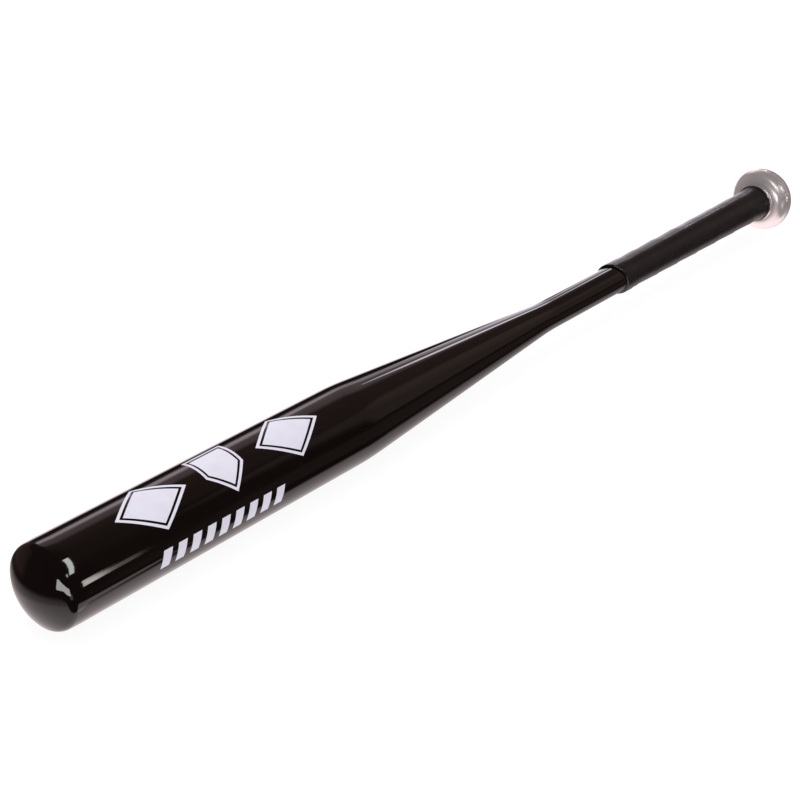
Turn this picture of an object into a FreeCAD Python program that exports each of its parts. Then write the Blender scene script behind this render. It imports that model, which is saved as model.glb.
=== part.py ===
import FreeCAD, Part
import math
import os

# A 34 inch one-piece alloy baseball bat lying along X, in millimetres.
# The origin is the centre of the flat land on the knob's outer face. The barrel runs away from it along
# -X, +Z is up, and the print faces -Y and upwards. A "station" is a distance from the barrel's tip.

# ---- driving dimensions ----
BAT_LENGTH = 864.0
BARREL_RADIUS = 28.6
HANDLE_RADIUS = 11.7
BARREL_END = 280.0
TAPER_END = 507.0
HANDLE_END = 602.5
GRIP_END = 833.5

# ---- bat tube ----
BARREL_WALL = 2.0
HANDLE_WALL = 2.6
CAP_SPHERE_RADIUS = 42.5
CAP_CORNER_RADIUS = 7.5
CAP_SHOULDER_RADIUS = 115.0
CAP_SHOULDER_TURN = 4.0
TAPER_BLEND = 300.0
BUTT_STATION = 816.0
BUTT_RADIUS = 12.75
BEVEL = 1.2

# ---- knob ----
KNOB_RADIUS = 27.5
KNOB_NECK_RADIUS = 14.8
KNOB_FRONT = 837.0
KNOB_FRONT_ROUND = 10.4
KNOB_NECK_ROUND = 2.2
KNOB_BACK_EDGE = 857.5
KNOB_BACK_ROUND = 14.4
KNOB_FACE_EDGE_RADIUS = 11.0
KNOB_FACE_ROUND = 20.0
SPIGOT_LENGTH = 14.0
SPIGOT_PLAY = 0.05
SPIGOT_CHAMFER = 0.8
KNOB_BORE_RADIUS = 6.5
KNOB_BORE_END = 852.0
WELD_CROWN = 0.35

# ---- grip ----
UNDERLAY_THICKNESS = 0.25
LAYER_GAP = 0.03
TAPE_START_RADIUS = 13.15
TAPE_NECK_STATION = 813.0
TAPE_NECK_RADIUS = 14.35
TAPE_END_RADIUS = 16.1
TAPE_START = 612.5
WRAP_PITCH = 30.8
WRAP_SEAM = 0.3
WRAP_TURN = 37.0
COLLAR_FRONT = 606.0
COLLAR_SLANT = 19.0
COLLAR_SLANT_TURN = -42.0
COLLAR_END = 620.5
COLLAR_RADIUS = 13.7
COLLAR_ROUND = 1.1
COLLAR_EDGE_ROUND = 0.2
BAND_WIDTH = 3.2
BAND_THICKNESS = 0.4

# ---- print: plain shapes in raised ink ----
INK = 0.06
PRINT_ANGLE = 67.5
PRINT_CENTRE = 148.5
PRINT_HEIGHT = 39.0
DIAMOND_WIDTH = 58.0
SHAPE_SPACING = 59.5
OUTLINE_WIDTH = 1.9
OUTLINE_GAP = 1.6
BAR_COUNT = 9
BAR_ANGLE = -5.0
BAR_CENTRE = 132.5
BAR_PITCH = 12.3
BAR_WIDTH = 7.2
BAR_HEIGHT = 12.0
BAR_SLANT = 3.2
WRAP_STEPS = 8


def at(station, radius):
    """The point in the XZ half plane at this station and radius."""
    return FreeCAD.Vector(station - BAT_LENGTH, 0, radius)


def sideways(angle):
    """The unit vector square to the bat's axis at this angle above -Y."""
    return FreeCAD.Vector(0, -math.cos(math.radians(angle)), math.sin(math.radians(angle)))


def outline(corners):
    """Edges through (station, radius, rounding) corners; a corner with a rounding becomes a tangent arc."""
    points = [at(corner[0], corner[1]) for corner in corners]
    edges = []
    start = points[0]
    for i in range(1, len(points) - 1):
        rounding = corners[i][2]
        corner = points[i]
        if rounding:
            back = (points[i - 1] - corner).normalize()
            onward = (points[i + 1] - corner).normalize()
            half_angle = back.getAngle(onward) / 2
            reach = rounding / math.tan(half_angle)
            arc_start = corner + back * reach
            arc_end = corner + onward * reach
            bisector = (back + onward).normalize()
            arc_middle = corner + bisector * (rounding / math.sin(half_angle) - rounding)
            edges.append(Part.makeLine(start, arc_start))
            edges.append(Part.Arc(arc_start, arc_middle, arc_end).toShape())
            start = arc_end
        else:
            edges.append(Part.makeLine(start, corner))
            start = corner
    edges.append(Part.makeLine(start, points[-1]))
    return edges


def turned(edges):
    """The solid of revolution about the bat's axis of the closed section that these edges bound."""
    section = Part.Face(Part.Wire(Part.__sortEdges__(edges)))
    return section.revolve(FreeCAD.Vector(0, 0, 0), FreeCAD.Vector(1, 0, 0), 360)


def ring(corners):
    """A turned piece from a closed loop of (station, radius, rounding) corners, the first one sharp."""
    return turned(outline(corners + [corners[0]]))


def between(station, low, high):
    """The radius at a station on the straight line from low to high, each a (station, radius) pair."""
    share = (station - low[0]) / (high[0] - low[0])
    return low[1] + share * (high[1] - low[1])


def tube_radius(station):
    """The handle's outside radius under the grip, where it swells towards the knob."""
    return between(station, (HANDLE_END, HANDLE_RADIUS), (BUTT_STATION, BUTT_RADIUS))


def tape_radius(station):
    """The wound tape's outside radius: a slow swell, then a flare over the knob's neck."""
    if station < TAPE_NECK_STATION:
        return between(station, (TAPE_START, TAPE_START_RADIUS), (TAPE_NECK_STATION, TAPE_NECK_RADIUS))
    return between(station, (TAPE_NECK_STATION, TAPE_NECK_RADIUS), (GRIP_END, TAPE_END_RADIUS))


def cap_arcs():
    """The closed end's tangent arcs: (centre station, centre radius, radius, first angle, last angle)."""
    shoulder_angle = math.radians(90 - CAP_SHOULDER_TURN)
    to_shoulder = CAP_SHOULDER_RADIUS - CAP_CORNER_RADIUS
    to_sphere = CAP_SPHERE_RADIUS - CAP_CORNER_RADIUS
    shoulder_height = BARREL_RADIUS - CAP_SHOULDER_RADIUS
    corner_height = shoulder_height + to_shoulder * math.sin(shoulder_angle)
    corner_angle = math.asin(corner_height / to_sphere)
    corner_station = CAP_SPHERE_RADIUS - to_sphere * math.cos(corner_angle)
    shoulder_station = corner_station + to_shoulder * math.cos(shoulder_angle)
    return [
        (CAP_SPHERE_RADIUS, 0, CAP_SPHERE_RADIUS, 0, corner_angle),
        (corner_station, corner_height, CAP_CORNER_RADIUS, corner_angle, shoulder_angle),
        (shoulder_station, shoulder_height, CAP_SHOULDER_RADIUS, shoulder_angle, math.pi / 2),
    ]


def tube_skin(inset, handle_inset):
    """Edges from the axis at the tip to the butt end, inset from the outside by the wall."""
    edges = []
    for station, height, outside_radius, first, last in cap_arcs():
        radius = outside_radius - inset
        ends_and_middle = [
            at(station - radius * math.cos(angle), height + radius * math.sin(angle))
            for angle in (first, (first + last) / 2, last)
        ]
        edges.append(Part.Arc(*ends_and_middle).toShape())
    barrel_start = cap_arcs()[-1][0]
    edges += outline([
        (barrel_start, BARREL_RADIUS - inset, 0),
        (BARREL_END, BARREL_RADIUS - inset, TAPER_BLEND),
        (TAPER_END, HANDLE_RADIUS - handle_inset, TAPER_BLEND),
        (HANDLE_END, HANDLE_RADIUS - handle_inset, 0),
        (BUTT_STATION - (BEVEL if inset == 0 else 0), BUTT_RADIUS - handle_inset, 0),
    ])
    return edges


def bat_tube():
    """One seamless tube: closed end, barrel, taper and handle, bevelled where the knob is welded on."""
    outside = tube_skin(0, 0)
    inside = tube_skin(BARREL_WALL, HANDLE_WALL)
    inner_radius = BUTT_RADIUS - HANDLE_WALL
    butt = [
        Part.makeLine(at(BUTT_STATION - BEVEL, BUTT_RADIUS), at(BUTT_STATION, BUTT_RADIUS - BEVEL)),
        Part.makeLine(at(BUTT_STATION, BUTT_RADIUS - BEVEL), at(BUTT_STATION, inner_radius)),
    ]
    tip_wall = Part.makeLine(at(0, 0), at(BARREL_WALL, 0))
    return turned(outside + butt + inside + [tip_wall])


def spigot_radius():
    """The knob's spigot slips into the handle's narrowest bore length."""
    tube_inside = tube_radius(BUTT_STATION - SPIGOT_LENGTH) - HANDLE_WALL
    return tube_inside - SPIGOT_PLAY


def knob():
    """Turned knob with a flared neck, and a spigot that locates it in the handle."""
    spigot_end = BUTT_STATION - SPIGOT_LENGTH
    return ring([
        (spigot_end, KNOB_BORE_RADIUS, 0),
        (spigot_end, spigot_radius() - SPIGOT_CHAMFER, 0),
        (spigot_end + SPIGOT_CHAMFER, spigot_radius(), 0),
        (BUTT_STATION, spigot_radius(), 0),
        (BUTT_STATION, BUTT_RADIUS - BEVEL, 0),
        (BUTT_STATION + BEVEL, BUTT_RADIUS, 0),
        (GRIP_END, KNOB_NECK_RADIUS, 0),
        (KNOB_FRONT, KNOB_NECK_RADIUS, KNOB_NECK_ROUND),
        (KNOB_FRONT, KNOB_RADIUS, KNOB_FRONT_ROUND),
        (KNOB_BACK_EDGE, KNOB_RADIUS, KNOB_BACK_ROUND),
        (BAT_LENGTH, KNOB_FACE_EDGE_RADIUS, KNOB_FACE_ROUND),
        (BAT_LENGTH, 0, 0),
        (KNOB_BORE_END, 0, 0),
        (KNOB_BORE_END - KNOB_BORE_RADIUS / 2, KNOB_BORE_RADIUS, 0),
    ])


def knob_weld():
    """Bead that fills the V between the tube's bevel and the knob's bevel, with a low crown."""
    return ring([
        (BUTT_STATION, BUTT_RADIUS - BEVEL, 0),
        (BUTT_STATION - BEVEL, BUTT_RADIUS, 0),
        (BUTT_STATION, BUTT_RADIUS + WELD_CROWN, 0),
        (BUTT_STATION + BEVEL, BUTT_RADIUS, 0),
    ])


def sleeve(start, end, inside, outside, stations=()):
    """A turned sleeve between two radius laws, with a corner at each of the stations given."""
    up = [(s, outside(s), 0) for s in (start, *stations, end)]
    down = [(s, inside(s), 0) for s in (end, *reversed(stations), start)]
    return ring(up + down)


def grip_underlay():
    """Double-sided backing tape between the handle and the grip tape."""
    end = BUTT_STATION - 2 * BEVEL
    return sleeve(
        TAPE_START, end,
        lambda s: tube_radius(s) + LAYER_GAP,
        lambda s: tube_radius(s) + LAYER_GAP + UNDERLAY_THICKNESS,
    )


def tape_inside(station):
    """The grip tape's inside radius: over the underlay, then over the weld, then over the knob's neck."""
    over_underlay = tube_radius(station) + UNDERLAY_THICKNESS + 2 * LAYER_GAP
    if station < TAPE_NECK_STATION:
        return over_underlay
    over_weld = BUTT_RADIUS + WELD_CROWN + 3 * LAYER_GAP
    over_neck = between(station, (BUTT_STATION, over_weld), (GRIP_END, KNOB_NECK_RADIUS + LAYER_GAP))
    return max(over_underlay, over_neck)


def wrap_seam():
    """A thin helical blade along the tape's seam: one turn of tape per pitch."""
    length = GRIP_END - TAPE_START + 2 * WRAP_PITCH
    blade_middle = (HANDLE_RADIUS + TAPE_END_RADIUS) / 2
    blade_half = TAPE_END_RADIUS - HANDLE_RADIUS
    helix = Part.makeLongHelix(WRAP_PITCH, length, blade_middle)
    corners = [(-1, -1), (1, -1), (1, 1), (-1, 1), (-1, -1)]
    section = Part.makePolygon([
        FreeCAD.Vector(blade_middle + side * blade_half, 0, rise * WRAP_SEAM / 2) for side, rise in corners
    ])
    blade = Part.Wire(helix.Edges).makePipeShell([section], True, True)
    blade.rotate(FreeCAD.Vector(0, 0, 0), FreeCAD.Vector(0, 1, 0), 90)
    blade.rotate(FreeCAD.Vector(0, 0, 0), FreeCAD.Vector(1, 0, 0), WRAP_TURN)
    blade.translate(at(TAPE_START - WRAP_PITCH, 0))
    return blade


def grip_tape():
    """One strip of cushioned tape wound along the handle, its turns butting along a helical seam."""
    wound = sleeve(TAPE_START, GRIP_END, tape_inside, tape_radius, (TAPE_NECK_STATION, BUTT_STATION))
    return wound.cut(wrap_seam())


def grip_collar():
    """Moulded ring that laps over the tape's upper end. Its front is cut on a slant, with a rounded lip."""
    bore = tube_radius(TAPE_START) + LAYER_GAP
    lap = TAPE_START_RADIUS + 2 * LAYER_GAP
    uncut_start = COLLAR_FRONT - COLLAR_RADIUS
    uncut = ring([
        (TAPE_START - LAYER_GAP, bore, 0),
        (uncut_start, bore, 0),
        (uncut_start, COLLAR_RADIUS, 0),
        (COLLAR_END, COLLAR_RADIUS, COLLAR_EDGE_ROUND),
        (COLLAR_END, lap, 0),
        (TAPE_START - LAYER_GAP, lap, 0),
    ])
    forward = FreeCAD.Vector(-1, 0, 0) + sideways(COLLAR_SLANT_TURN) * math.tan(math.radians(COLLAR_SLANT))
    cutter = Part.makeCylinder(3 * COLLAR_RADIUS, 3 * COLLAR_RADIUS, at(COLLAR_FRONT, 0), forward)
    cut = uncut.cut(cutter)
    slanted_edge = max(cut.Edges, key=lambda edge: edge.Length)
    return cut.makeFillet(COLLAR_ROUND, [slanted_edge])


def grip_end_band():
    """Narrow finishing turn around the tape's lower end."""
    start = GRIP_END - BAND_WIDTH
    return ring([
        (start, tape_radius(start) + LAYER_GAP, 0),
        (start, tape_radius(start) + BAND_THICKNESS, 0),
        (GRIP_END, TAPE_END_RADIUS + BAND_THICKNESS, 0),
        (GRIP_END, TAPE_END_RADIUS + LAYER_GAP, 0),
    ])


def diamond(scale):
    """Corners of the print's diamond, about its own centre, as (along, up) pairs."""
    return [
        (-DIAMOND_WIDTH / 2 * scale, 0),
        (0, -PRINT_HEIGHT / 2 * scale),
        (DIAMOND_WIDTH / 2 * scale, 0),
        (0, PRINT_HEIGHT / 2 * scale),
    ]


def home_plate(scale):
    """Corners of the print's home plate, about the centre of the circle that touches its five edges."""
    reach = PRINT_HEIGHT / (1 + math.sqrt(2)) * scale
    shoulder = reach * (math.sqrt(2) - 1)
    point = reach * math.sqrt(2)
    return [(-reach, -shoulder), (0, -point), (reach, -shoulder), (reach, reach), (-reach, reach)]


def slanted_bar(scale):
    """Corners of one small bar, leaning towards the knob."""
    half_width = BAR_WIDTH / 2 * scale
    half_height = BAR_HEIGHT / 2 * scale
    lean = BAR_SLANT / 2 * scale
    return [
        (-half_width - lean, -half_height),
        (half_width - lean, -half_height),
        (half_width + lean, half_height),
        (-half_width + lean, half_height),
    ]


def edge_distance(corners):
    """Distance from the shape's centre to its edges, the same for every edge."""
    (x1, y1), (x2, y2) = corners[0], corners[1]
    return abs(x1 * y2 - x2 * y1) / math.hypot(x2 - x1, y2 - y1)


def inked(shape, scale, station, angle, lift=0):
    """The shape laid on the barrel: a prism through its outline, cut from a thin shell round the barrel."""
    outward = sideways(angle)
    upward = sideways(angle + 90)
    corners = shape(scale)
    points = []
    for (x1, y1), (x2, y2) in zip(corners, corners[1:] + corners[:1]):
        for step in range(WRAP_STEPS):
            share = step / WRAP_STEPS
            along = x1 + share * (x2 - x1)
            arc = y1 + share * (y2 - y1) + lift
            rise = BARREL_RADIUS * math.sin(arc / BARREL_RADIUS)
            points.append(at(station + along, 0) + upward * rise)
    prism = Part.Face(Part.makePolygon(points + points[:1])).extrude(outward * 2 * BARREL_RADIUS)
    shell_start, shell_end = station - DIAMOND_WIDTH, station + DIAMOND_WIDTH
    shell = ring([
        (shell_start, BARREL_RADIUS, 0),
        (shell_start, BARREL_RADIUS + INK, 0),
        (shell_end, BARREL_RADIUS + INK, 0),
        (shell_end, BARREL_RADIUS, 0),
    ])
    return shell.common(prism)


def print_shapes():
    """The three shapes as (shape, offset along the barrel, lift of its centre above the print's line)."""
    plate_reach = PRINT_HEIGHT / (1 + math.sqrt(2))
    plate_lift = PRINT_HEIGHT / 2 - plate_reach
    return [(diamond, -SHAPE_SPACING, 0), (home_plate, 0, plate_lift), (diamond, SHAPE_SPACING, 0)]


def print_fill():
    """The solid middles of the three shapes."""
    patches = []
    for shape, offset, lift in print_shapes():
        scale = 1 - (OUTLINE_WIDTH + OUTLINE_GAP) / edge_distance(shape(1))
        patches.append(inked(shape, scale, PRINT_CENTRE + offset, PRINT_ANGLE, lift))
    return Part.makeCompound([solid for patch in patches for solid in patch.Solids])


def print_outline():
    """The line that runs round each of the three shapes, with bare lacquer between line and middle."""
    lines = []
    for shape, offset, lift in print_shapes():
        inner_scale = 1 - OUTLINE_WIDTH / edge_distance(shape(1))
        station = PRINT_CENTRE + offset
        whole = inked(shape, 1, station, PRINT_ANGLE, lift)
        lines.append(whole.cut(inked(shape, inner_scale, station, PRINT_ANGLE, lift)))
    return Part.makeCompound([solid for line in lines for solid in line.Solids])


def print_bars():
    """The row of small slanted bars under the shapes."""
    bars = []
    for i in range(BAR_COUNT):
        station = BAR_CENTRE + (i - (BAR_COUNT - 1) / 2) * BAR_PITCH
        bars.append(inked(slanted_bar, 1, station, BAR_ANGLE))
    return Part.makeCompound([solid for bar in bars for solid in bar.Solids])


PIECES = {
    "bat_tube": bat_tube,
    "knob": knob,
    "knob_weld": knob_weld,
    "grip_underlay": grip_underlay,
    "grip_tape": grip_tape,
    "grip_collar": grip_collar,
    "grip_end_band": grip_end_band,
    "print_fill": print_fill,
    "print_outline": print_outline,
    "print_bars": print_bars,
}

os.makedirs("parts", exist_ok=True)
for name, build_piece in PIECES.items():
    piece = build_piece()
    state = "valid" if piece.isValid() else "NOT VALID"
    print(name, len(piece.Solids), "solids", round(piece.Volume), "mm3", state)
    piece.exportStep("parts/" + name + ".step")
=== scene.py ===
import math

import bmesh
import bpy
from mathutils import Matrix, Quaternion, Vector, noise


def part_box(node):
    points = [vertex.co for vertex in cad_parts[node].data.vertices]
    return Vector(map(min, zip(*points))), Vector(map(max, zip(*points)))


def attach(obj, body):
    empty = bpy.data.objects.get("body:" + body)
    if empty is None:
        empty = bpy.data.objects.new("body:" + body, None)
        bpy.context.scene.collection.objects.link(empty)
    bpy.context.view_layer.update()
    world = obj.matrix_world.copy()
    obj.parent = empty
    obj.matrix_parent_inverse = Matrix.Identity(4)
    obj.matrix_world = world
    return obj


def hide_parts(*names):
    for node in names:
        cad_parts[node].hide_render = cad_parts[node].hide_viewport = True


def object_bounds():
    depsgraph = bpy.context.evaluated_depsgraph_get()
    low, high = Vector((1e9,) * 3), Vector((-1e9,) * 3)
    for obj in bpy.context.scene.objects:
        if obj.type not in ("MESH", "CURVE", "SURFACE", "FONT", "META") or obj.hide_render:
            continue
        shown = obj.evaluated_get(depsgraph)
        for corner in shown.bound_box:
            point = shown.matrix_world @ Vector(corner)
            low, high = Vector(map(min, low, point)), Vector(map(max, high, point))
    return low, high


# The looks of the baseball bat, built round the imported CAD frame. The bat lies along X with its barrel
# towards -X, +Z is up, and everything is in metres. A "station" is a distance from the barrel's tip
# towards the knob.

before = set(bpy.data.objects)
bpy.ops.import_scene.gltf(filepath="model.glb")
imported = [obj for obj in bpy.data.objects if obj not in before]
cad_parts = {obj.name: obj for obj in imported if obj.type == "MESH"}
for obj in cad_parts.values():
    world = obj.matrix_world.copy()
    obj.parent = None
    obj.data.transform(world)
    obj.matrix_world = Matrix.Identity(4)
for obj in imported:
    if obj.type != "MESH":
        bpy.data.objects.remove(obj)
cad_low, cad_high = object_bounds()
MM = 0.001

# ---- places and sizes read from the frame ----
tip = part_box("bat_tube")[0].x
barrel_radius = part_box("bat_tube")[1].z
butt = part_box("bat_tube")[1].x - tip
bat_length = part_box("knob")[1].x - tip
knob_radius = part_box("knob")[1].z
tape_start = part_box("grip_tape")[0].x - tip
tape_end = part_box("grip_tape")[1].x - tip
tape_end_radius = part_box("grip_tape")[1].z
collar_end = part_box("grip_collar")[1].x - tip
collar_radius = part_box("grip_collar")[1].z
band_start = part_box("grip_end_band")[0].x - tip
band_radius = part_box("grip_end_band")[1].z
floor_height = cad_low.z

# ---- tube ----
HANDLE_RADIUS = 11.7 * MM
BUTT_RADIUS = 12.75 * MM
BARREL_WALL = 2.0 * MM
HANDLE_WALL = 2.6 * MM
CAP_SPHERE_RADIUS = 42.5 * MM
CAP_CORNER_RADIUS = 7.5 * MM
CAP_SHOULDER_RADIUS = 115.0 * MM
CAP_SHOULDER_TURN = math.radians(4)
BARREL_END = 280.0 * MM
TAPER_END = 507.0 * MM
TAPER_BLEND = 300.0 * MM
TAPER_STEP = math.radians(0.25)
HANDLE_END = 602.5 * MM

# ---- knob, with its front and its back edge measured from its face ----
KNOB_NECK_RADIUS = 14.8 * MM
KNOB_FRONT = 27.0 * MM
KNOB_FRONT_ROUND = 10.4 * MM
KNOB_NECK_ROUND = 2.2 * MM
KNOB_BACK_EDGE = 6.5 * MM
KNOB_BACK_ROUND = 14.4 * MM
KNOB_FACE_EDGE_RADIUS = 11.0 * MM
KNOB_FACE_ROUND = 20.0 * MM

# ---- grip, with places across one turn of tape as shares of its width ----
TAPE_START_RADIUS = 13.15 * MM
TAPE_NECK_STATION = 813.0 * MM
TAPE_NECK_RADIUS = 14.35 * MM
TAPE_FLARE_POWER = 1.4
TAPE_THICKNESS = 1.2 * MM
WRAP_PITCH = 30.8 * MM
WRAP_TURN = math.radians(37)
WRAP_STEPS = 120
SEAM_GAP = 0.06 * MM
LIP_HEIGHT = 0.20 * MM
LIP_ROUND = 0.7 * MM
LIP_POWER = 1.6
LIP_WANDER = 0.08
LIP_FADE_AT_COLLAR = 4 * MM
LIP_FADE_AT_BAND = 5 * MM
COVERED_DEPTH = 0.1 * MM
ACROSS_BODY = [0, 0.02, 0.06, 0.12, 0.2, 0.3, 0.4, 0.5, 0.6, 0.7, 0.8]
ACROSS_LIP = [0.88, 0.93, 0.96, 0.98, 0.99, 0.996, 1]
COLLAR_FRONT = 606.0 * MM
COLLAR_SLANT = math.radians(19)
COLLAR_SLANT_TURN = math.radians(-42)
COLLAR_ROUND = 1.1 * MM
COLLAR_BACK_ROUND = 0.3 * MM
COLLAR_ON_TUBE = 0.03 * MM
COLLAR_ON_TAPE = 0.06 * MM
BAND_START_DEPTH = 0.15 * MM
BAND_START_RISE = 0.35 * MM
BAND_START_ROUND = 0.15 * MM
BAND_END_ROUND = 0.3 * MM
BAND_ON_NECK = 0.02 * MM

# ---- print, with angles counted from -Y towards +Z ----
INK = 0.06 * MM
PRINT_ANGLE = math.radians(67.5)
PRINT_CENTRE = 148.5 * MM
PRINT_HEIGHT = 39.0 * MM
DIAMOND_WIDTH = 58.0 * MM
SHAPE_SPACING = 59.5 * MM
OUTLINE_WIDTH = 1.9 * MM
OUTLINE_GAP = 1.6 * MM
BAR_COUNT = 9
BAR_ANGLE = math.radians(-5)
BAR_CENTRE = 132.5 * MM
BAR_PITCH = 12.3 * MM
BAR_WIDTH = 7.2 * MM
BAR_HEIGHT = 12.0 * MM
BAR_SLANT = 3.2 * MM
FILM_STEP = 0.5 * MM

# ---- camera, placed from the barrel's tip ----
LENS = 79.6
CAMERA_BEYOND_TIP = 521.7 * MM
CAMERA_FROM_AXIS = 906.0 * MM
CAMERA_RISE = math.radians(38.3)
VIEW_AZIMUTH = math.radians(-50.337)
VIEW_ELEVATION = math.radians(26.918)
VIEW_ROLL = math.radians(0.053)

# ---- near lamps, in metres and degrees: a strip over the cone's side and a panel before the closed end ----
STRIP_AIM_STATION = 0.362
STRIP_AIM_SIDE = -0.109
STRIP_OFFSET = Vector((0, -0.302, 0.553))
STRIP_WIDTH = 0.06
STRIP_LENGTH = 0.47
STRIP_RADIANCE = 10.0
PANEL_AIM_STATION = 0.02
PANEL_DISTANCE = 0.5
PANEL_AZIMUTH = 218
PANEL_ELEVATION = 0.8
PANEL_HALF_WIDTH = 28
PANEL_HALF_HEIGHT = 9.2
PANEL_ROLL = -3.5
PANEL_RADIANCE = 7.4

# ---- overhead light and floor ----
OVERHEAD_OFFSET = Vector((-0.3, 0.2, 1.5))
OVERHEAD_WIDTH = 1.2
OVERHEAD_DEPTH = 0.8
OVERHEAD_POWER = 9.0
FLOOR_HALF_SIZE = 12.0
FLOOR_GAP = 0.1 * MM
FLOOR_GLOW = 0.93

# ---- mesh steps ----
ROUND_STEP = math.radians(3)
COLLAR_STEP = math.radians(8)
BAND_STEP = math.radians(12)
LATHE_SEGMENTS = 256
CAP_STEPS = 24
TINY = 1e-7
WELD_DISTANCE = 0.002 * MM
COLLAPSE_DISTANCE = 0.001 * MM


# ---------------------------------------------------------------- mesh helpers

def turned(vector, angle):
    """A flat vector turned by an angle."""
    cos, sin = math.cos(angle), math.sin(angle)
    return Vector((vector.x * cos - vector.y * sin, vector.x * sin + vector.y * cos))


def on_bat(station, radius, angle):
    """The place at a station and a radius, at an angle round the bat's axis from +Y towards +Z."""
    return (tip + station, radius * math.cos(angle), radius * math.sin(angle))


def rounded(corners, step=ROUND_STEP):
    """Points through (station, radius, rounding) corners, with each rounding as a tangent arc."""
    points = [Vector((corners[0][0], corners[0][1]))]
    for before, here, after in zip(corners, corners[1:], corners[2:]):
        corner = Vector(here[:2])
        if not here[2]:
            points.append(corner)
            continue
        back = (Vector(before[:2]) - corner).normalized()
        onward = (Vector(after[:2]) - corner).normalized()
        half_angle = back.angle(onward) / 2
        centre = corner + (back + onward).normalized() * here[2] / math.sin(half_angle)
        first = corner + back * here[2] / math.tan(half_angle) - centre
        turn = math.pi - 2 * half_angle
        way = 1 if back.y * onward.x > back.x * onward.y else -1
        count = max(2, math.ceil(turn / step))
        for i in range(count + 1):
            angle = way * turn * i / count
            points.append(centre + turned(first, angle))
    points.append(Vector(corners[-1][:2]))
    return points


def finished(bm, name, material, node, smooth_angle=math.radians(35)):
    """Turns a bmesh into a shaded piece that rides on the bat and stands for its CAD node."""
    bmesh.ops.recalc_face_normals(bm, faces=bm.faces)
    mesh = bpy.data.meshes.new(name)
    bm.to_mesh(mesh)
    bm.free()
    mesh.shade_smooth()
    mesh.set_sharp_from_angle(angle=smooth_angle)
    mesh.materials.append(material)
    piece = bpy.data.objects.new(name, mesh)
    bpy.context.scene.collection.objects.link(piece)
    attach(piece, "root")
    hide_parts(node)
    return piece


def lathe(profile, closed=False):
    """A bmesh turned about the bat's axis from (station, radius) points. A zero radius makes a pole."""
    bm = bmesh.new()
    rings = []
    for station, radius in profile:
        if radius < TINY:
            rings.append([bm.verts.new((tip + station, 0, 0))])
            continue
        turns = [2 * math.pi * i / LATHE_SEGMENTS for i in range(LATHE_SEGMENTS)]
        rings.append([bm.verts.new(on_bat(station, radius, turn)) for turn in turns])
    pairs = list(zip(rings, rings[1:]))
    if closed:
        pairs.append((rings[-1], rings[0]))
    for low, high in pairs:
        for i in range(LATHE_SEGMENTS):
            j = (i + 1) % LATHE_SEGMENTS
            if len(low) == 1:
                bm.faces.new((low[0], high[i], high[j]))
            elif len(high) == 1:
                bm.faces.new((low[i], high[0], low[j]))
            else:
                bm.faces.new((low[i], high[i], high[j], low[j]))
    return bm


# ---------------------------------------------------------------- material helpers

class NodeTree:
    """Short calls for the nodes that materials and the world share."""

    def __init__(self, tree):
        self.tree = tree

    def put(self, value, socket):
        """Links a node output, or sets a plain value."""
        if isinstance(value, bpy.types.NodeSocket):
            self.tree.links.new(value, socket)
        else:
            socket.default_value = value

    def math(self, operation, *values):
        """One Math node on one to three values."""
        node = self.tree.nodes.new("ShaderNodeMath")
        node.operation = operation
        for value, socket in zip(values, node.inputs):
            self.put(value, socket)
        return node.outputs[0]

    def dot(self, vector, way):
        """How far a vector points along a fixed direction."""
        node = self.tree.nodes.new("ShaderNodeVectorMath")
        node.operation = "DOT_PRODUCT"
        self.put(vector, node.inputs[0])
        node.inputs[1].default_value = way
        return node.outputs["Value"]

    def span(self, value, low, high, to_low=0.0, to_high=1.0):
        """Maps low..high smoothly onto to_low..to_high."""
        node = self.tree.nodes.new("ShaderNodeMapRange")
        node.interpolation_type = "SMOOTHSTEP"
        for socket, number in zip(node.inputs[:5], (value, low, high, to_low, to_high)):
            self.put(number, socket)
        return node.outputs[0]


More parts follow.
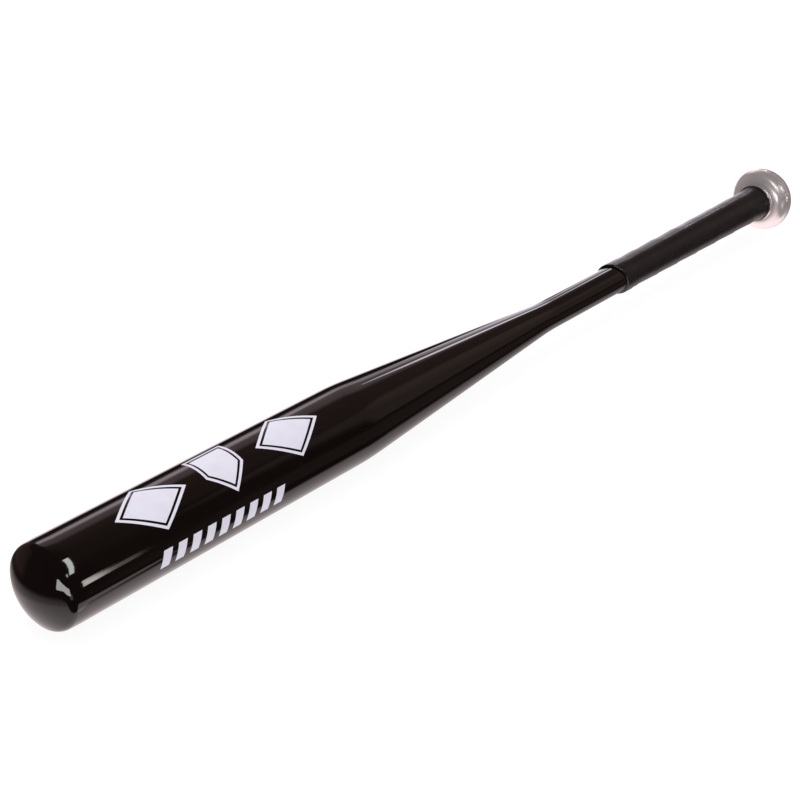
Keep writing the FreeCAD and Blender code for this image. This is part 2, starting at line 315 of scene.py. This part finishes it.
class Shader(NodeTree):
    """A node material built round its Principled node."""

    def __init__(self, name):
        self.material = bpy.data.materials.new(name)
        self.material.use_nodes = True
        super().__init__(self.material.node_tree)
        self.surface = self.tree.nodes["Principled BSDF"]
        coordinates = self.tree.nodes.new("ShaderNodeTexCoord")
        self.place = coordinates.outputs["Object"]
        self.normal = coordinates.outputs["Normal"]

    def set(self, **values):
        """Sets inputs of the Principled node: base_color= stands for its input Base Color."""
        for name, value in values.items():
            label = name.replace("_", " ").title().replace("Ior", "IOR")
            self.put(value, self.surface.inputs[label])

    def stretch(self, scale):
        """The object coordinates, scaled along each axis."""
        node = self.tree.nodes.new("ShaderNodeMapping")
        self.put(self.place, node.inputs["Vector"])
        node.inputs["Scale"].default_value = scale
        return node.outputs[0]

    def noise(self, scale, detail=3.0, roughness=0.5, vector=None):
        """Cloudy noise from 0 to 1."""
        node = self.tree.nodes.new("ShaderNodeTexNoise")
        self.put(vector or self.place, node.inputs["Vector"])
        node.inputs["Scale"].default_value = scale
        node.inputs["Detail"].default_value = detail
        node.inputs["Roughness"].default_value = roughness
        return node.outputs["Fac"]

    def cells(self, scale, feature="F1"):
        """Distance to the middle of the nearest cell."""
        node = self.tree.nodes.new("ShaderNodeTexVoronoi")
        node.feature = feature
        self.put(self.place, node.inputs["Vector"])
        node.inputs["Scale"].default_value = scale
        return node.outputs["Distance"]

    def mix(self, share, a, b):
        """A colour between a and b."""
        node = self.tree.nodes.new("ShaderNodeMix")
        node.data_type = "RGBA"
        self.put(share, node.inputs["Factor"])
        self.put(a, node.inputs[6])
        self.put(b, node.inputs[7])
        return node.outputs[2]

    def bump(self, height, depth, below=None):
        """A normal from a height, depth in metres for a height of one."""
        node = self.tree.nodes.new("ShaderNodeBump")
        node.inputs["Strength"].default_value = 1.0
        node.inputs["Distance"].default_value = depth
        self.put(height, node.inputs["Height"])
        if below is not None:
            self.put(below, node.inputs["Normal"])
        return node.outputs[0]


# ---------------------------------------------------------------- materials

def lacquer():
    """Gloss black lacquer with faint orange peel, soft smears and fine hairlines along the bat."""
    s = Shader("black_lacquer")
    cloud = s.noise(9, 4)
    smear = s.noise(28, 5, 0.6, s.stretch((0.35, 1, 1)))
    hairline = s.noise(900, 2, 0.7, s.stretch((0.02, 1, 1)))
    peel = s.noise(260, 1.5)
    worn = s.span(smear, 0.35, 0.75, 0.030, 0.055)
    s.set(
        base_color=s.mix(cloud, (0.0042, 0.0027, 0.0024, 1), (0.0066, 0.0042, 0.0036, 1)),
        roughness=s.math("ADD", worn, s.math("MULTIPLY", hairline, 0.02)),
        ior=1.5,
        normal=s.bump(peel, 0.0012 * MM),
    )
    return s.material


def pale_ink():
    """Screen-printed ink, satin, with a slight mottle and a fine mesh texture."""
    s = Shader("pale_ink")
    mottle = s.noise(120, 4)
    grain = s.noise(2200, 2)
    flecks = s.span(s.cells(900), 0.05, 0.12, 1, 0)
    tone = s.mix(mottle, (0.64, 0.62, 0.72, 1), (0.74, 0.72, 0.81, 1))
    s.set(
        base_color=s.mix(s.math("MULTIPLY", flecks, 0.35), tone, (0.30, 0.28, 0.34, 1)),
        roughness=s.span(mottle, 0.3, 0.7, 0.30, 0.42),
        ior=1.46,
        normal=s.bump(grain, 0.01 * MM),
    )
    return s.material


def grip_cover():
    """Soft black grip tape: fine pebbled grain, a little paler where it is rubbed."""
    s = Shader("grip_cover")
    pebbles = s.cells(1300, "SMOOTH_F1")
    cloud = s.noise(45, 4)
    fibre = s.noise(1600, 3, 0.6)
    rub = s.math("MULTIPLY", s.noise(160, 5, 0.65), cloud)
    s.set(
        base_color=s.mix(rub, (0.0085, 0.0065, 0.0072, 1), (0.018, 0.014, 0.0155, 1)),
        roughness=s.span(cloud, 0.3, 0.7, 0.26, 0.33),
        ior=1.50,
        normal=s.bump(fibre, 0.006 * MM, s.bump(pebbles, 0.015 * MM)),
    )
    return s.material


def collar_rubber():
    """Satin black rubber with faint mould flow, glossier where it faces the barrel."""
    s = Shader("collar_rubber")
    flow = s.noise(60, 4, 0.55, s.stretch((3, 1, 1)))
    fine = s.noise(700, 3)
    towards_barrel = s.dot(s.normal, (-1, 0, 0))
    streaks = s.span(flow, 0.3, 0.7, 0.00, 0.06)
    polish = s.span(towards_barrel, 0.05, 0.45, 0.27, 0.10)
    s.set(
        base_color=s.mix(flow, (0.007, 0.006, 0.006, 1), (0.013, 0.011, 0.011, 1)),
        roughness=s.math("ADD", streaks, polish),
        ior=1.52,
        normal=s.bump(fine, 0.006 * MM),
    )
    return s.material


def polished_metal():
    """Polished aluminium with turning lines round the axis, scratches, finger smears and tiny pits."""
    s = Shader("polished_metal")
    turning = s.noise(5200, 2, 0.5, s.stretch((1, 0.004, 0.004)))
    scratches = s.noise(700, 4, 0.75, s.stretch((0.12, 1, 1)))
    smear = s.noise(70, 4, 0.6)
    pits = s.span(s.cells(620), 0.04, 0.09, 1, 0)
    smeared = s.span(smear, 0.3, 0.75, 0.27, 0.33)
    turned_lines = s.bump(turning, 0.001 * MM)
    s.set(
        base_color=s.mix(smear, (0.84, 0.75, 0.735, 1), (0.93, 0.86, 0.85, 1)),
        metallic=0.75,
        roughness=s.math("ADD", smeared, s.math("MULTIPLY", scratches, 0.04)),
        normal=s.bump(pits, -0.003 * MM, s.bump(scratches, 0.0008 * MM, turned_lines)),
    )
    return s.material


def weld_metal():
    """Ground aluminium weld, rougher than the knob."""
    s = Shader("weld_metal")
    ripple = s.noise(900, 4, 0.6)
    s.set(
        base_color=s.mix(ripple, (0.42, 0.40, 0.38, 1), (0.66, 0.64, 0.62, 1)),
        metallic=1.0,
        roughness=s.span(ripple, 0.2, 0.8, 0.30, 0.55),
        normal=s.bump(ripple, 0.05 * MM),
    )
    return s.material


def backing_tape():
    """Woven double-sided tape under the grip."""
    s = Shader("backing_tape")
    weave = s.noise(1800, 2, 0.5, s.stretch((1, 0.3, 0.3)))
    stain = s.noise(40, 4)
    s.set(
        base_color=s.mix(stain, (0.36, 0.33, 0.26, 1), (0.52, 0.48, 0.40, 1)),
        roughness=s.span(weave, 0.2, 0.8, 0.75, 0.95),
        normal=s.bump(weave, 0.05 * MM),
    )
    return s.material


# ---------------------------------------------------------------- pieces

def cap_arcs():
    """The closed end's arcs, as (centre station, centre height, radius, first angle, last angle)."""
    shoulder_angle = math.pi / 2 - CAP_SHOULDER_TURN
    to_shoulder = CAP_SHOULDER_RADIUS - CAP_CORNER_RADIUS
    to_sphere = CAP_SPHERE_RADIUS - CAP_CORNER_RADIUS
    shoulder_height = barrel_radius - CAP_SHOULDER_RADIUS
    corner_height = shoulder_height + to_shoulder * math.sin(shoulder_angle)
    corner_angle = math.asin(corner_height / to_sphere)
    corner_station = CAP_SPHERE_RADIUS - to_sphere * math.cos(corner_angle)
    shoulder_station = corner_station + to_shoulder * math.cos(shoulder_angle)
    return [
        (CAP_SPHERE_RADIUS, 0, CAP_SPHERE_RADIUS, 0, corner_angle),
        (corner_station, corner_height, CAP_CORNER_RADIUS, corner_angle, shoulder_angle),
        (shoulder_station, shoulder_height, CAP_SHOULDER_RADIUS, shoulder_angle, math.pi / 2),
    ]


def tube_skin(inset, handle_inset):
    """The tube's profile from its pole to its butt, set in by the barrel's and the handle's wall."""
    points = []
    for station, height, outside_radius, first, last in cap_arcs():
        radius = outside_radius - inset
        for i in range(CAP_STEPS):
            angle = first + (last - first) * i / CAP_STEPS
            along, up = -radius * math.cos(angle), radius * math.sin(angle)
            points.append(Vector((station + along, height + up)))
    return points + rounded([
        (cap_arcs()[-1][0], barrel_radius - inset, 0),
        (BARREL_END, barrel_radius - inset, TAPER_BLEND),
        (TAPER_END, HANDLE_RADIUS - handle_inset, TAPER_BLEND),
        (HANDLE_END, HANDLE_RADIUS - handle_inset, 0),
        (butt, BUTT_RADIUS - handle_inset, 0),
    ], TAPER_STEP)


def build_tube(material):
    """The whole tube, outside and inside, as one closed skin."""
    outside = tube_skin(0, 0)
    inside = tube_skin(BARREL_WALL, HANDLE_WALL)
    skin = lathe(outside + inside[::-1])
    return finished(skin, "tube_body", material, "bat_tube")


def build_knob(material):
    """The knob from under the tape to its face."""
    front = bat_length - KNOB_FRONT
    profile = rounded([
        (butt, 0, 0),
        (butt, BUTT_RADIUS, 0),
        (tape_end, KNOB_NECK_RADIUS, 0),
        (front, KNOB_NECK_RADIUS, KNOB_NECK_ROUND),
        (front, knob_radius, KNOB_FRONT_ROUND),
        (bat_length - KNOB_BACK_EDGE, knob_radius, KNOB_BACK_ROUND),
        (bat_length, KNOB_FACE_EDGE_RADIUS, KNOB_FACE_ROUND),
        (bat_length, 0, 0),
    ])
    return finished(lathe(profile), "knob_body", material, "knob")


def tape_radius(station):
    """The wound tape's outside radius without its lips."""
    if station < TAPE_NECK_STATION:
        share = (station - tape_start) / (TAPE_NECK_STATION - tape_start)
        return TAPE_START_RADIUS + share * (TAPE_NECK_RADIUS - TAPE_START_RADIUS)
    share = (station - TAPE_NECK_STATION) / (tape_end - TAPE_NECK_STATION)
    return TAPE_NECK_RADIUS + share ** TAPE_FLARE_POWER * (tape_end_radius - TAPE_NECK_RADIUS)


def lip(across, station):
    """Height of the tape above its mean radius. Each turn rises to a rounded lip on its knob side."""
    fade_in = min(1, max(0, (station - collar_end) / LIP_FADE_AT_COLLAR))
    fade_out = min(1, max(0, (band_start - station) / LIP_FADE_AT_BAND))
    fade = fade_in * fade_out
    to_edge = (1 - across) * WRAP_PITCH
    rounding = math.sqrt(max(0, 1 - (1 - min(1, to_edge / LIP_ROUND)) ** 2))
    slope = (across ** LIP_POWER) * 2 - 1
    wander = noise.noise(Vector((station * 60, across * 1.5, 0.3))) * LIP_WANDER
    height = (slope + wander) * LIP_HEIGHT
    return fade * (height * rounding - LIP_HEIGHT * (1 - rounding)) - (1 - fade) * COVERED_DEPTH


def build_tape(material):
    """The strip of grip tape, wound helically. Each turn's lip stands above the start of the next turn."""
    bm = bmesh.new()
    across_points = ACROSS_BODY + ACROSS_LIP
    turns = (tape_end - tape_start) / WRAP_PITCH + 1
    covered = 1 - SEAM_GAP / WRAP_PITCH
    rows = []
    for i in range(1, math.ceil(turns * WRAP_STEPS)):
        turn = i / WRAP_STEPS
        angle = 2 * math.pi * turn + WRAP_TURN
        row = []
        for inner in (False, True):
            for across in (across_points[::-1] if inner else across_points):
                station = tape_start + (turn - 1 + across * covered) * WRAP_PITCH
                station = min(max(station, tape_start), tape_end)
                radius = tape_radius(station)
                radius += -TAPE_THICKNESS if inner else lip(across, station)
                row.append(bm.verts.new(on_bat(station, radius, angle)))
        rows.append(row)
    for low, high in zip(rows, rows[1:]):
        for j in range(len(low)):
            k = (j + 1) % len(low)
            bm.faces.new((low[j], low[k], high[k], high[j]))
    bm.faces.new(rows[0])
    bm.faces.new(rows[-1][::-1])
    bmesh.ops.remove_doubles(bm, verts=bm.verts, dist=WELD_DISTANCE)
    bmesh.ops.dissolve_degenerate(bm, edges=bm.edges, dist=COLLAPSE_DISTANCE)
    return finished(bm, "tape_wrap", material, "grip_tape", math.radians(60))


def build_collar(material):
    """The moulded ring at the grip's upper end. Its rounded front lip stands on the tube at a slant."""
    share = (tape_start - HANDLE_END) / (butt - HANDLE_END)
    bore = HANDLE_RADIUS + share * (BUTT_RADIUS - HANDLE_RADIUS) + COLLAR_ON_TUBE
    lap = TAPE_START_RADIUS + COLLAR_ON_TAPE
    profile = rounded([
        (tape_start, bore, 0),
        (COLLAR_FRONT, bore, 0),
        (COLLAR_FRONT, collar_radius, COLLAR_ROUND),
        (collar_end, collar_radius, COLLAR_BACK_ROUND),
        (collar_end, lap, 0),
        (tape_start, lap, 0),
    ], COLLAR_STEP)
    bm = lathe(profile, closed=True)

    # The front lip leans. The rest of the ring stays square to the axis.
    slant_way = Vector((0, -math.cos(COLLAR_SLANT_TURN), math.sin(COLLAR_SLANT_TURN)))
    back = slant_way * math.tan(COLLAR_SLANT)
    front_lip_end = tip + COLLAR_FRONT + COLLAR_ROUND * 1.01
    for vert in bm.verts:
        if vert.co.x < front_lip_end:
            vert.co.x += vert.co.dot(back)
    return finished(bm, "collar_ring", material, "grip_collar")


def build_end_band(material):
    """The narrow finishing turn at the knob end of the tape."""
    start_radius = tape_radius(band_start)
    profile = rounded([
        (band_start, start_radius - BAND_START_DEPTH, 0),
        (band_start, start_radius + BAND_START_RISE, BAND_START_ROUND),
        (tape_end, band_radius, BAND_END_ROUND),
        (tape_end, KNOB_NECK_RADIUS + BAND_ON_NECK, 0),
    ], BAND_STEP)
    return finished(lathe(profile, closed=True), "end_band", material, "grip_end_band")


def diamond(scale):
    """Corners of the print's diamond, about its own centre, as (along, up) pairs."""
    half_width = DIAMOND_WIDTH / 2 * scale
    half_height = PRINT_HEIGHT / 2 * scale
    return [(-half_width, 0), (0, -half_height), (half_width, 0), (0, half_height)]


def home_plate(scale):
    """Corners of the print's home plate, about the centre of the circle that touches its five edges."""
    reach = PRINT_HEIGHT / (1 + math.sqrt(2)) * scale
    shoulder = reach * (math.sqrt(2) - 1)
    return [
        (-reach, -shoulder),
        (0, -reach * math.sqrt(2)),
        (reach, -shoulder),
        (reach, reach),
        (-reach, reach),
    ]


def slanted_bar():
    """Corners of one small bar, leaning towards the knob."""
    half_width, half_height, lean = BAR_WIDTH / 2, BAR_HEIGHT / 2, BAR_SLANT / 2
    return [
        (-half_width - lean, -half_height),
        (half_width - lean, -half_height),
        (half_width + lean, half_height),
        (-half_width + lean, half_height),
    ]


def edge_distance(corners):
    """Distance from the shape's centre to its edges, the same for every edge."""
    (x1, y1), (x2, y2) = corners[0], corners[1]
    return abs(x1 * y2 - x2 * y1) / math.hypot(x2 - x1, y2 - y1)


def print_shapes():
    """The three shapes as (shape, station, lift). The lift puts mid-height on the print's line."""
    plate_lift = PRINT_HEIGHT / 2 - PRINT_HEIGHT / (1 + math.sqrt(2))
    return [
        (diamond, PRINT_CENTRE - SHAPE_SPACING, 0),
        (home_plate, PRINT_CENTRE, plate_lift),
        (diamond, PRINT_CENTRE + SHAPE_SPACING, 0),
    ]


def add_film(bm, loops, station, angle, lift=0):
    """Adds one film of ink, inside the first loop and outside the second, wrapped on the barrel."""
    flat = bmesh.new()
    rings = [[flat.verts.new((x, y + lift, 0)) for x, y in loop] for loop in loops]
    if len(rings) == 1:
        flat.faces.new(rings[0])
    else:
        outer, inner = rings
        for i in range(len(outer)):
            j = (i + 1) % len(outer)
            flat.faces.new((outer[i], outer[j], inner[j], inner[i]))
    reach = math.ceil(PRINT_HEIGHT / FILM_STEP)
    for i in range(-reach, reach + 1):
        every = flat.verts[:] + flat.edges[:] + flat.faces[:]
        cut = (0, i * FILM_STEP, 0)
        bmesh.ops.bisect_plane(flat, geom=every, plane_co=cut, plane_no=(0, 1, 0), dist=TINY)
    skin = bmesh.ops.extrude_face_region(flat, geom=flat.faces[:])["geom"]
    for vert in (element for element in skin if isinstance(element, bmesh.types.BMVert)):
        vert.co.z = INK
    wrapped = {}
    for vert in flat.verts:
        turn = angle + vert.co.y / barrel_radius
        radius = barrel_radius + vert.co.z
        place = (tip + station + vert.co.x, -radius * math.cos(turn), radius * math.sin(turn))
        wrapped[vert] = bm.verts.new(place)
    for face in flat.faces:
        bm.faces.new([wrapped[vert] for vert in face.verts])
    flat.free()


def build_print(material):
    """The three outlined shapes and the row of bars, as thin closed films of ink."""
    fill, lines, bars = bmesh.new(), bmesh.new(), bmesh.new()
    for shape, station, lift in print_shapes():
        reach = edge_distance(shape(1))
        fill_scale = 1 - (OUTLINE_WIDTH + OUTLINE_GAP) / reach
        line_scale = 1 - OUTLINE_WIDTH / reach
        add_film(fill, [shape(fill_scale)], station, PRINT_ANGLE, lift)
        add_film(lines, [shape(1), shape(line_scale)], station, PRINT_ANGLE, lift)
    for i in range(BAR_COUNT):
        station = BAR_CENTRE + (i - (BAR_COUNT - 1) / 2) * BAR_PITCH
        add_film(bars, [slanted_bar()], station, BAR_ANGLE)
    finished(fill, "ink_fill", material, "print_fill")
    finished(lines, "ink_outline", material, "print_outline")
    finished(bars, "ink_bars", material, "print_bars")


def dress_cad_node(name, material):
    """Gives a carried-over CAD node its material."""
    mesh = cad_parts[name].data
    mesh.materials.clear()
    mesh.materials.append(material)


# ---------------------------------------------------------------- stage, light and camera

def direction(azimuth, elevation):
    """Unit vector at an azimuth counted from +X towards +Y, and an elevation, in degrees."""
    a, e = math.radians(azimuth), math.radians(elevation)
    return Vector((math.cos(a) * math.cos(e), math.sin(a) * math.cos(e), math.sin(e)))


class Studio(NodeTree):
    """The world: white to the camera, soft ambient to matt surfaces, and soft boxes to glossy ones."""

    def __init__(self):
        world = bpy.data.worlds.new("studio")
        bpy.context.scene.world = world
        world.use_nodes = True
        world.cycles.sampling_method = "NONE"
        super().__init__(world.node_tree)
        self.tree.nodes.clear()
        self.ray = self.tree.nodes.new("ShaderNodeTexCoord").outputs["Generated"]

    def along(self, vector):
        """How far the ray points along a fixed vector."""
        return self.dot(self.ray, vector)

    def fall(self, value, near, far):
        """One up to near, zero past far."""
        return self.span(value, near, far, 1.0, 0.0)

    def softbox(self, azimuth, elevation, half_width, half_height, soft, colour, roll):
        """A soft-edged rectangle of light, its half sizes in degrees."""
        centre = direction(azimuth, elevation)
        across = centre.cross(Vector((0, 0, 1))).normalized()
        upright = across.cross(centre)
        turn = math.radians(roll)
        side = across * math.cos(turn) + upright * math.sin(turn)
        top = upright * math.cos(turn) - across * math.sin(turn)
        ahead = self.math("MAXIMUM", self.along(centre), 0.001)
        mask = None
        for axis, half in ((side, half_width), (top, half_height)):
            offset = self.math("ABSOLUTE", self.math("DIVIDE", self.along(axis), ahead))
            edge = math.tan(math.radians(half))
            soft_edge = math.tan(math.radians(half + soft))
            inside = self.fall(offset, edge, soft_edge)
            mask = inside if mask is None else self.math("MULTIPLY", mask, inside)
        return self.scaled(colour, mask)

    def scaled(self, colour, amount):
        """A colour times an amount."""
        node = self.tree.nodes.new("ShaderNodeVectorMath")
        node.operation = "SCALE"
        self.put(colour, node.inputs[0])
        self.put(amount, node.inputs["Scale"])
        return node.outputs[0]

    def total(self, lights):
        """Adds up colours."""
        result = lights[0]
        for light in lights[1:]:
            node = self.tree.nodes.new("ShaderNodeVectorMath")
            node.operation = "ADD"
            self.put(result, node.inputs[0])
            self.put(light, node.inputs[1])
            result = node.outputs[0]
        return result

    def by_elevation(self, stops):
        """A colour that changes with the ray's elevation, from (degrees, colour) stops."""
        ramp = self.tree.nodes.new("ShaderNodeValToRGB")
        ramp.color_ramp.interpolation = "EASE"
        height = self.math("MULTIPLY_ADD", self.along((0, 0, 1)), 0.5, 0.5)
        self.put(height, ramp.inputs["Fac"])
        elements = ramp.color_ramp.elements
        while len(elements) < len(stops):
            elements.new(0.5)
        for element, (degrees, colour) in zip(elements, stops):
            element.position = math.sin(math.radians(degrees)) / 2 + 0.5
            element.color = (*colour, 1)
        return ramp.outputs["Color"]

    def background(self, colour, strength):
        """Light of one colour from everywhere."""
        node = self.tree.nodes.new("ShaderNodeBackground")
        self.put(colour, node.inputs["Color"])
        self.put(strength, node.inputs["Strength"])
        return node.outputs[0]

    def choose(self, question, yes, no):
        """Yes where the question is one, no where it is zero."""
        node = self.tree.nodes.new("ShaderNodeMixShader")
        self.put(question, node.inputs[0])
        self.put(no, node.inputs[1])
        self.put(yes, node.inputs[2])
        return node.outputs[0]


# The white ground as reflections see it, as (elevation in degrees, colour).
GROUND_STOPS = [
    (-90, (1.20, 1.08, 1.08)),
    (-55, (1.28, 1.14, 1.14)),
    (-38, (1.12, 0.98, 0.98)),
    (-29, (0.55, 0.46, 0.46)),
    (-19, (0.01, 0.008, 0.008)),
    (90, (0.01, 0.008, 0.008)),
]
GROUND_NEAR_EDGE = math.radians(50)

# Soft boxes as (azimuth, elevation, half width, half height, soft edge, colour, roll), in degrees.
SOFT_BOXES = [
    (-112, -12, 8, 5, 3, (1.0, 1.0, 1.0), 0),
    (-82, 37, 9, 2.5, 1.5, (5.0, 4.9, 5.2), 0),
    (-59.0, 2, 0.9, 5.5, 0.8, (8.4, 7.6, 7.4), 0),
    (-57.6, 0, 0.9, 3.5, 0.6, (1.3, 1.15, 1.05), 0),
    (-53, -42, 4, 7, 3, (1.2, 1.1, 1.1), 0),
    (27, 26.5, 1.2, 4.0, 1.8, (4.8, 4.5, 5.1), 0),
    (35.8, 2, 3.4, 12.5, 1.6, (1.85, 1.75, 1.92), 0),
    (47, 20.5, 13, 3.8, 2.5, (1.05, 0.92, 1.02), -6),
    (55, 26, 9, 3, 3, (0.80, 0.68, 0.75), 0),
    (44, 35, 16, 6, 8, (0.42, 0.34, 0.38), 0),
    (50, -17, 14, 7, 6, (1.20, 1.05, 1.12), 0),
    (15, 36, 32, 14, 16, (0.12, 0.08, 0.065), 0),
    (-30, 18, 12, 13, 6, (0.20, 0.15, 0.13), 0),
    (95, 4, 24, 12, 14, (0.12, 0.07, 0.06), 0),
    (-42, -15, 9, 8, 7, (0.075, 0.055, 0.05), 0),
]


def light_studio():
    """A dark room over a white ground, with soft boxes on both sides of the bat."""
    studio = Studio()
    ground = studio.by_elevation(GROUND_STOPS)
    across_edge = (0, -math.sin(GROUND_NEAR_EDGE), math.cos(GROUND_NEAR_EDGE))
    on_ground = studio.fall(studio.along(across_edge), -0.12, 0.01)
    towards_knob = studio.fall(studio.along((1, 0, 0)), 0.45, 0.90)
    reach = studio.math("MULTIPLY_ADD", towards_knob, 0.55, 0.45)
    lit_ground = studio.scaled(ground, studio.math("MULTIPLY", on_ground, reach))
    lights = [lit_ground] + [studio.softbox(*box) for box in SOFT_BOXES]
    glossy = studio.background(studio.total(lights), 1.0)
    ambient = studio.background((1.0, 0.99, 1.0, 1), 0.85)
    white = studio.background((1, 1, 1, 1), 1.0)
    path = studio.tree.nodes.new("ShaderNodeLightPath")
    seen = studio.choose(path.outputs["Is Glossy Ray"], glossy, ambient)
    seen = studio.choose(path.outputs["Is Camera Ray"], white, seen)
    output = studio.tree.nodes.new("ShaderNodeOutputWorld")
    studio.tree.links.new(seen, output.inputs["Surface"])


def pale_floor():
    """A wide white floor under the bat. Reflections pass through it to the studio's own ground."""
    bm = bmesh.new()
    bmesh.ops.create_grid(bm, x_segments=8, y_segments=8, size=FLOOR_HALF_SIZE)
    mesh = bpy.data.meshes.new("floor")
    bm.to_mesh(mesh)
    bm.free()
    floor = bpy.data.objects.new("floor", mesh)
    floor.location = ((cad_low.x + cad_high.x) / 2, 0, floor_height - FLOOR_GAP)
    bpy.context.scene.collection.objects.link(floor)
    s = Shader("white_floor")
    tree = s.tree
    s.set(
        base_color=s.mix(s.noise(3, 2), (0.09, 0.09, 0.09, 1), (0.11, 0.11, 0.11, 1)),
        roughness=0.9,
        emission_color=(1, 1, 1, 1),
        emission_strength=FLOOR_GLOW,
    )
    clear = tree.nodes.new("ShaderNodeBsdfTransparent")
    path = tree.nodes.new("ShaderNodeLightPath")
    pick = tree.nodes.new("ShaderNodeMixShader")
    tree.links.new(path.outputs["Is Glossy Ray"], pick.inputs[0])
    tree.links.new(s.surface.outputs[0], pick.inputs[1])
    tree.links.new(clear.outputs[0], pick.inputs[2])
    tree.links.new(pick.outputs[0], tree.nodes["Material Output"].inputs["Surface"])
    s.material.cycles.emission_sampling = "NONE"
    mesh.materials.append(s.material)


def area_lamp(name, place, outward, width, height, power, roll=0.0):
    """A flat rectangular lamp at a place. It shines the opposite way to the outward direction."""
    data = bpy.data.lights.new(name, "AREA")
    data.shape = "RECTANGLE"
    data.size = width
    data.size_y = height
    data.energy = power
    lamp = bpy.data.objects.new(name, data)
    lamp.location = place
    lamp.rotation_mode = "QUATERNION"
    turn = Quaternion((0, 0, 1), math.radians(roll))
    lamp.rotation_quaternion = outward.to_track_quat("Z", "Y") @ turn
    bpy.context.scene.collection.objects.link(lamp)
    return lamp


def overhead_light():
    """One broad soft light above the bat, for shape in the matt surfaces. Glossy ones don't see it."""
    middle = (cad_low + cad_high) / 2
    place = middle + OVERHEAD_OFFSET
    lamp = area_lamp("overhead", place, place - middle, OVERHEAD_WIDTH, OVERHEAD_DEPTH, OVERHEAD_POWER)
    lamp.visible_glossy = False


def glossy_lamp(name, aim, offset, width, height, radiance, roll=0.0):
    """A flat lamp that only glossy surfaces see, facing the point it is aimed at."""
    power = radiance * math.pi * width * height
    lamp = area_lamp(name, aim + offset, offset, width, height, power, roll)
    lamp.visible_diffuse = False
    lamp.visible_camera = False


def near_lamps():
    """Two lamps at short distances: a strip over the cone's side and a panel before the closed end."""
    beside_cone = Vector((tip + STRIP_AIM_STATION, STRIP_AIM_SIDE, 0))
    glossy_lamp("strip", beside_cone, STRIP_OFFSET, STRIP_WIDTH, STRIP_LENGTH, STRIP_RADIANCE)
    cap = Vector((tip + PANEL_AIM_STATION, 0, 0))
    offset = direction(PANEL_AZIMUTH, PANEL_ELEVATION) * PANEL_DISTANCE
    width = 2 * PANEL_DISTANCE * math.tan(math.radians(PANEL_HALF_WIDTH))
    height = 2 * PANEL_DISTANCE * math.tan(math.radians(PANEL_HALF_HEIGHT))
    glossy_lamp("panel", cap, offset, width, height, PANEL_RADIANCE, PANEL_ROLL)


def place_camera():
    """The camera beyond the barrel's tip and above it, looking along the bat towards its knob."""
    data = bpy.data.cameras.new("camera")
    data.lens = LENS
    data.clip_start = 0.01
    data.clip_end = 60.0
    camera = bpy.data.objects.new("camera", data)
    camera.location = (
        tip - CAMERA_BEYOND_TIP,
        -CAMERA_FROM_AXIS * math.cos(CAMERA_RISE),
        CAMERA_FROM_AXIS * math.sin(CAMERA_RISE),
    )
    pan = Matrix.Rotation(VIEW_AZIMUTH, 3, "Z")
    tilt = Matrix.Rotation(math.pi / 2 - VIEW_ELEVATION, 3, "X")
    roll = Matrix.Rotation(VIEW_ROLL, 3, "Z")
    camera.rotation_euler = (pan @ tilt @ roll).to_euler()
    bpy.context.scene.collection.objects.link(camera)
    bpy.context.scene.camera = camera


cover = grip_cover()
build_tube(lacquer())
build_knob(polished_metal())
build_tape(cover)
build_collar(collar_rubber())
build_end_band(cover)
build_print(pale_ink())
dress_cad_node("knob_weld", weld_metal())
dress_cad_node("grip_underlay", backing_tape())

light_studio()
pale_floor()
overhead_light()
near_lamps()
place_camera()
bpy.context.scene.view_settings.view_transform = "Standard"
